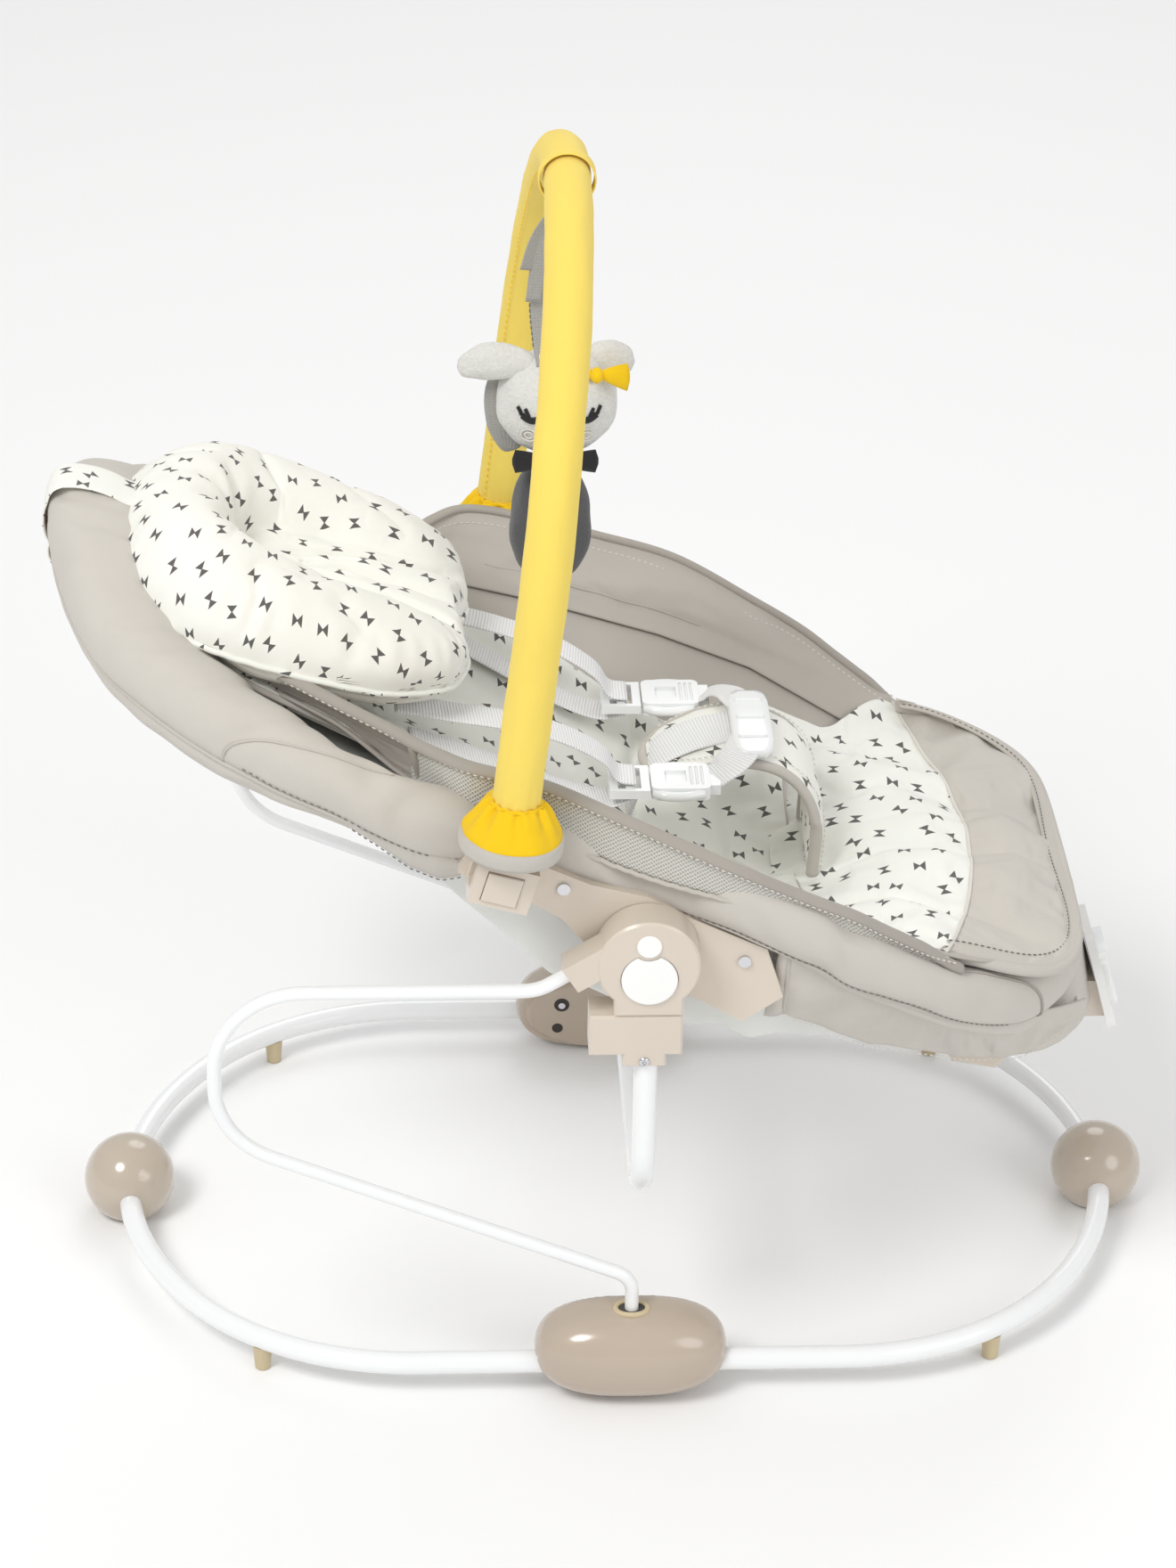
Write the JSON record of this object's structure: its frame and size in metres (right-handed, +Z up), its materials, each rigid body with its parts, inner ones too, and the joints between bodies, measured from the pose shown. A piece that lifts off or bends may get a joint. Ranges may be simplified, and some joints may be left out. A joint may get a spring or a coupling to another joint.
{
  "type": "baby bouncer seat",
  "caption": "Baby bouncer seat: padded reclining seat on a sprung tube frame with an oval base ring, harness, vibration unit and a toy bar with a hanging plush toy.",
  "frame": {"origin": "on the floor under the middle of the base ring", "axes": "+X towards the foot end, +Z up, +Y to the far side in the picture"},
  "size_m": [0.7338, 0.474, 0.7832],
  "materials": {
    "white_tube": "gloss",
    "beige_plastic": "gloss",
    "beige_rubber": "matte",
    "screw_steel": "polished",
    "white_plastic": "gloss",
    "clear_plastic": "gloss",
    "grey_fabric": "woven",
    "print_fabric": "printed",
    "white_webbing": "ribbed",
    "yellow_fabric": "knit",
    "toy_grey": "woven",
    "toy_white": "plush",
    "toy_felt": "felt"
  },
  "bodies": {
    "base": {"front_base_tube": "white_tube", "rear_base_tube": "white_tube", "ball_front_shell": "beige_plastic", "ball_front_base": "beige_plastic", "ball_rear_shell": "beige_plastic", "ball_rear_base": "beige_plastic", "peg_front_left": "beige_rubber", "peg_front_right": "beige_rubber", "peg_rear_left": "beige_rubber", "peg_rear_right": "beige_rubber", "left_capsule_shell": "beige_plastic", "right_capsule_shell": "beige_plastic", "left_capsule_cover": "beige_plastic", "right_capsule_cover": "beige_plastic", "pivot_pins": "screw_steel", "capsule_screws": "screw_steel"},
    "spring_frame": {"left_spring_leg": "white_tube", "right_spring_leg": "white_tube", "left_hub_housing": "beige_plastic", "right_hub_housing": "beige_plastic", "hub_caps": "white_plastic", "cross_brace": "white_tube", "pivot_bolts": "screw_steel"},
    "recline_button_left": {"left_recline_button": "white_plastic"},
    "recline_button_right": {"right_recline_button": "white_plastic"},
    "seat": {"left_side_rail": "beige_plastic", "right_side_rail": "beige_plastic", "rail_screws": "screw_steel", "toy_bar_pins": "screw_steel", "recline_gears": "white_plastic", "rear_seat_tube": "white_tube", "front_seat_tube": "white_tube", "left_rim_pad": "grey_fabric", "right_rim_pad": "grey_fabric", "left_side_wall": "grey_fabric", "right_side_wall": "grey_fabric", "hammock": "grey_fabric", "seat_pad": "print_fabric", "head_pillow": "print_fabric", "crotch_pad": "print_fabric", "crotch_webbing": "white_webbing", "left_strap": "white_webbing", "right_strap": "white_webbing", "strap_adjusters": "clear_plastic", "left_buckle": "clear_plastic", "right_buckle": "clear_plastic", "vibration_housing": "beige_plastic", "vibration_panel": "white_plastic"},
    "release_left": {"left_bar_release": "beige_plastic"},
    "release_right": {"right_bar_release": "beige_plastic"},
    "knob": {"vibration_knob": "clear_plastic"},
    "power_button": {"vibration_button": "white_plastic"},
    "toy_bar": {"toy_bar_tube": "white_tube", "toy_bar_sleeve": "yellow_fabric", "toy_bar_knuckles": "beige_plastic", "toy_bar_skirts": "yellow_fabric"},
    "toy": {"toy_strap": "toy_grey", "toy_head": "toy_white", "toy_body": "toy_felt", "toy_ears": "toy_white"}
  },
  "joints": [
    {"name": "bounce", "type": "hinge", "parent": "base", "child": "spring_frame", "pos_m": [0, 0, 0.03], "axis": [0, 1, 0], "range_deg": [-4, 4], "stiffness_Nm_per_rad": 250},
    {"name": "recline", "type": "hinge", "parent": "spring_frame", "child": "seat", "pos_m": [0.005, 0, 0.329], "axis": [0, 1, 0], "range_deg": [-8, 12]},
    {"name": "recline_press_left", "type": "slide", "parent": "spring_frame", "child": "recline_button_left", "axis": [0, 1, 0], "range_m": [0, 0.003], "stiffness_N_per_m": 400},
    {"name": "recline_press_right", "type": "slide", "parent": "spring_frame", "child": "recline_button_right", "axis": [0, -1, 0], "range_m": [0, 0.003], "stiffness_N_per_m": 400},
    {"name": "bar_swing", "type": "hinge", "parent": "seat", "child": "toy_bar", "pos_m": [-0.082, 0, 0.398], "axis": [0, 1, 0], "range_deg": [-5, 40]},
    {"name": "release_press_left", "type": "slide", "parent": "seat", "child": "release_left", "axis": [0, 1, 0], "range_m": [0, 0.0012], "stiffness_N_per_m": 400},
    {"name": "release_press_right", "type": "slide", "parent": "seat", "child": "release_right", "axis": [0, -1, 0], "range_m": [0, 0.0012], "stiffness_N_per_m": 400},
    {"name": "knob_turn", "type": "hinge", "parent": "seat", "child": "knob", "pos_m": [0.315, 0, 0.2072], "axis": [0.96, 0, 0.28], "range_deg": [-120, 120]},
    {"name": "power_press", "type": "slide", "parent": "seat", "child": "power_button", "axis": [-0.96, 0, -0.28], "range_m": [0, 0.002], "stiffness_N_per_m": 400},
    {"name": "toy_swing", "type": "hinge", "parent": "toy_bar", "child": "toy", "pos_m": [-0.04176, 0, 0.76379], "axis": [0, 1, 0], "range_deg": [-12, 11]}
  ]
}
